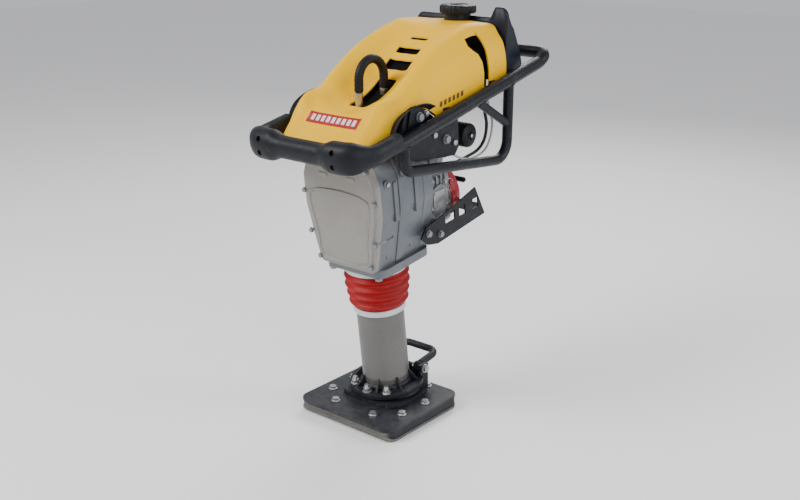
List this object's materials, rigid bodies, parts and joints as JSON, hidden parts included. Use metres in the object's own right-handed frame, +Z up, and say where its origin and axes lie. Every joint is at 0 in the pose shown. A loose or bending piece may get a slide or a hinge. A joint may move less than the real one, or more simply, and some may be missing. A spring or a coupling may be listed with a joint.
{
  "type": "jumping jack rammer",
  "caption": "Upright petrol-engined rammer: a flat shoe on a sprung leg with red bellows, driven by a crank gear, under a tubular handle with a yellow hood.",
  "frame": {"origin": "centre of the sole, on the ground", "axes": "+Z up; the front of the machine faces -Y; +X is the operator's left, who stands behind it at +Y"},
  "size_m": [0.3519, 0.7168, 0.926],
  "materials": {
    "worn_steel": "worn bare steel",
    "laminate": "weathered laminate edge",
    "shoe_black": "satin black with a blue tint, scuffed",
    "zinc": "zinc plated",
    "cast_black": "black painted casting",
    "tube_grey": "satin grey paint",
    "bright_steel": "ground steel",
    "spring_steel": "oiled spring steel",
    "clamp_pale": "pale band, satin",
    "frame_black": "powder-coated black",
    "brass": "plain",
    "bronze": "bearing bronze",
    "case_blue_grey": "painted casting, blue grey",
    "bellows_red": "red moulded polyurethane",
    "cover_grey": "painted casting, warm grey",
    "gear_steel": "machined, oiled",
    "engine_cast": "raw casting",
    "recoil_red": "red paint",
    "muffler_brown": "heat-stained steel",
    "boot_black": "plug boot",
    "carb_alloy": "raw die casting",
    "plastic_black": "black moulded plastic",
    "rubber_black": "black rubber",
    "bumper_black": "grained black polyethylene",
    "hood_yellow": "moulded yellow plastic",
    "tank_navy": "black moulded tank with a navy tint",
    "hose_black": "fuel hose",
    "cable_grey": "pale outer casing"
  },
  "bodies": {
    "housing": {"guide_cylinder": "case_blue_grey", "guide_bushes": "bronze", "bellows": "bellows_red", "upper_bellows_clamp": "clamp_pale", "crankcase": "case_blue_grey", "front_cover": "cover_grey", "cover_screws": "zinc", "housing_bolts": "zinc", "bearings": "bright_steel", "engine_block": "engine_cast", "engine_cylinder": "engine_cast", "recoil_cover": "recoil_red", "muffler": "muffler_brown", "spark_plug": "boot_black", "carburettor": "carb_alloy", "intake_elbow": "plastic_black", "air_filter": "plastic_black", "engine_guard": "frame_black", "handle_loop": "frame_black", "side_loops": "frame_black", "mount_plates": "frame_black", "rubber_dampers": "rubber_black", "front_bumper": "bumper_black", "hood": "hood_yellow", "fuel_tank": "tank_navy", "lift_bow": "zinc", "lift_sleeve": "rubber_black", "throttle_bracket": "plastic_black", "fuel_hose": "hose_black", "throttle_cable": "cable_grey"},
    "foot": {"sole_plate": "worn_steel", "shoe_core": "laminate", "shoe_top_plate": "shoe_black", "shoe_bolts": "zinc", "foot_casting": "cast_black", "foot_nuts": "zinc", "guard_tube": "tube_grey", "spring_cylinder": "bright_steel", "cylinder_cap": "bright_steel", "lower_springs": "spring_steel", "upper_springs": "spring_steel", "lower_bellows_clamp": "clamp_pale", "foot_lift_handle": "frame_black", "oil_plug": "brass"},
    "plunger": {"plunger_rod": "bright_steel", "plunger_piston": "bright_steel", "piston_nut": "zinc"},
    "crank": {"crank_gear": "gear_steel"},
    "conrod": {"connecting_rod": "gear_steel", "wrist_pin": "bright_steel"},
    "pinion": {"clutch_drum": "gear_steel"},
    "engine_shaft": {"engine_crankshaft": "bright_steel", "flywheel": "engine_cast", "clutch_hub": "gear_steel"},
    "throttle": {"throttle_lever": "recoil_red"},
    "filler_cap": {"fuel_cap": "plastic_black"},
    "starter": {"starter_grip": "plastic_black"},
    "choke": {"choke_lever": "plastic_black"},
    "fuel_valve": {"fuel_valve_lever": "recoil_red"},
    "dipstick": {"oil_dipstick": "plastic_black"}
  },
  "joints": [
    {"name": "foot_slide", "type": "slide", "parent": "housing", "child": "foot", "axis": [0, -0.1219, 0.9925], "range_m": [-0.04, 0.02], "stiffness_N_per_m": 60000, "springref_m": -0.006, "deforming": ["lower_springs", "upper_springs", "bellows"]},
    {"name": "plunger_slide", "type": "slide", "parent": "housing", "child": "plunger", "axis": [0, -0.1219, 0.9925], "range_m": [0, 0.05], "deforming": ["lower_springs", "upper_springs"]},
    {"name": "crank_spin", "type": "hinge", "parent": "housing", "child": "crank", "pos_m": [0, 0.0073, 0.54557], "axis": [0, 0.9925, 0.1219], "continuous": true},
    {"name": "conrod_swing", "type": "hinge", "parent": "crank", "child": "conrod", "pos_m": [0, -0.02737, 0.51612], "axis": [0, 0.9925, 0.1219], "continuous": true},
    {"name": "pinion_spin", "type": "hinge", "parent": "housing", "child": "pinion", "pos_m": [0, 0.03779, 0.47778], "axis": [0, 0.9925, 0.1219], "continuous": true},
    {"name": "engine_spin", "type": "hinge", "parent": "housing", "child": "engine_shaft", "pos_m": [0, 0.13704, 0.48997], "axis": [0, 0.9925, 0.1219], "continuous": true},
    {"name": "throttle_turn", "type": "hinge", "parent": "housing", "child": "throttle", "pos_m": [-0.13, 0.362, 0.8052], "axis": [0, 0, -1], "range_deg": [0, 60]},
    {"name": "filler_cap_turn", "type": "hinge", "parent": "housing", "child": "filler_cap", "pos_m": [0, 0.29, 0.91], "axis": [0, 0, 1], "range_deg": [0, 120]},
    {"name": "starter_pull", "type": "slide", "parent": "housing", "child": "starter", "axis": [0, 0.9925, 0.1219], "range_m": [0, 0.6], "stiffness_N_per_m": 15, "springref_m": -0.8},
    {"name": "choke_turn", "type": "hinge", "parent": "housing", "child": "choke", "pos_m": [0.08, 0.14053, 0.60928], "axis": [-1, 0, 0], "range_deg": [0, 70]},
    {"name": "fuel_valve_turn", "type": "hinge", "parent": "housing", "child": "fuel_valve", "pos_m": [0.08, 0.11249, 0.60785], "axis": [1, 0, 0], "range_deg": [0, 60]},
    {"name": "dipstick_turn", "type": "hinge", "parent": "housing", "child": "dipstick", "pos_m": [0.075, 0.11611, 0.4471], "axis": [1, 0, 0], "range_deg": [0, 720]}
  ],
  "couplings": [
    {"joint": "conrod_swing", "follows": "crank_spin", "ratio": -1},
    {"joint": "pinion_spin", "follows": "crank_spin", "ratio": -5.4545}
  ]
}
